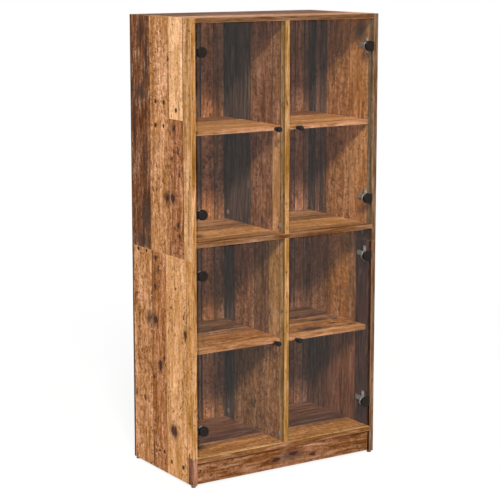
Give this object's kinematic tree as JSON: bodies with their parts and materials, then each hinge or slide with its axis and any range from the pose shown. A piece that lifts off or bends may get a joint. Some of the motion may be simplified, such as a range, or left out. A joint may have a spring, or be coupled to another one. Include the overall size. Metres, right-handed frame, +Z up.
{
  "type": "highboard",
  "caption": "Tall free-standing cabinet in old-wood decor, with inset clear glass doors on round black hinges, fixed dividers, shelves behind the doors and a set-back plinth.",
  "frame": {"origin": "on the floor, under the middle of the whole object with its knobs", "axes": "+Z up, +Y from the doors to the back, +X to the right as seen from the front"},
  "size_m": [0.68, 0.3898, 1.42],
  "materials": {
    "old_wood_board": "particle board with a matt printed reclaimed-wood foil",
    "back_board": "thin fibreboard with the same matt foil inside",
    "brown_plastic": "extruded",
    "zinc_alloy": "die-cast zinc, nickel plated",
    "plated_steel": "nickel-plated steel",
    "black_steel": "black powder coat",
    "black_metal": "satin black powder coat",
    "black_plastic": "moulded, satin black",
    "beech": "fluted beech dowel",
    "clear_glass": "clear tempered, seamed edges",
    "soft_seal": "moulded"
  },
  "bodies": {
    "carcass": {"left_lower_side_panel": "old_wood_board", "left_upper_side_panel": "old_wood_board", "right_lower_side_panel": "old_wood_board", "right_upper_side_panel": "old_wood_board", "top_panel": "old_wood_board", "middle_panel": "old_wood_board", "bottom_panel": "old_wood_board", "upper_divider": "old_wood_board", "lower_divider": "old_wood_board", "upper_left_shelf": "old_wood_board", "upper_right_shelf": "old_wood_board", "lower_left_shelf": "old_wood_board", "lower_right_shelf": "old_wood_board", "front_plinth": "old_wood_board", "upper_back_panel": "back_board", "lower_back_panel": "back_board", "back_joining_strip": "brown_plastic", "cam_locks": "zinc_alloy", "cam_bolts": "plated_steel", "wood_dowels": "beech", "shelf_pins": "plated_steel", "floor_glides": "black_plastic", "hinge_mounting_plates": "plated_steel", "hinge_plate_screws": "plated_steel", "hinge_arms": "plated_steel", "hinge_pins": "plated_steel"},
    "lower_left_door": {"lower_left_door_glass": "clear_glass", "lower_left_door_hinge_leaves": "black_steel", "lower_left_door_hinge_caps": "black_plastic", "lower_left_door_soft_washers": "soft_seal", "lower_left_door_hinge_cups": "zinc_alloy", "lower_left_door_clamp_screws": "plated_steel", "lower_left_door_knob": "black_metal", "lower_left_door_knob_screw": "plated_steel"},
    "lower_right_door": {"lower_right_door_glass": "clear_glass", "lower_right_door_hinge_leaves": "black_steel", "lower_right_door_hinge_caps": "black_plastic", "lower_right_door_soft_washers": "soft_seal", "lower_right_door_hinge_cups": "zinc_alloy", "lower_right_door_clamp_screws": "plated_steel", "lower_right_door_knob": "black_metal", "lower_right_door_knob_screw": "plated_steel"},
    "upper_left_door": {"upper_left_door_glass": "clear_glass", "upper_left_door_hinge_leaves": "black_steel", "upper_left_door_hinge_caps": "black_plastic", "upper_left_door_soft_washers": "soft_seal", "upper_left_door_hinge_cups": "zinc_alloy", "upper_left_door_clamp_screws": "plated_steel", "upper_left_door_knob": "black_metal", "upper_left_door_knob_screw": "plated_steel"},
    "upper_right_door": {"upper_right_door_glass": "clear_glass", "upper_right_door_hinge_leaves": "black_steel", "upper_right_door_hinge_caps": "black_plastic", "upper_right_door_soft_washers": "soft_seal", "upper_right_door_hinge_cups": "zinc_alloy", "upper_right_door_clamp_screws": "plated_steel", "upper_right_door_knob": "black_metal", "upper_right_door_knob_screw": "plated_steel"}
  },
  "joints": [
    {"name": "lower_left_door_hinge", "type": "hinge", "parent": "carcass", "child": "lower_left_door", "pos_m": [-0.3227, -0.1755, 0.415], "axis": [0, 0, -1], "range_deg": [0, 95]},
    {"name": "lower_right_door_hinge", "type": "hinge", "parent": "carcass", "child": "lower_right_door", "pos_m": [0.3227, -0.1755, 0.415], "axis": [0, 0, 1], "range_deg": [0, 95]},
    {"name": "upper_left_door_hinge", "type": "hinge", "parent": "carcass", "child": "upper_left_door", "pos_m": [-0.3227, -0.1755, 1.08], "axis": [0, 0, -1], "range_deg": [0, 95]},
    {"name": "upper_right_door_hinge", "type": "hinge", "parent": "carcass", "child": "upper_right_door", "pos_m": [0.3227, -0.1755, 1.08], "axis": [0, 0, 1], "range_deg": [0, 95]}
  ]
}
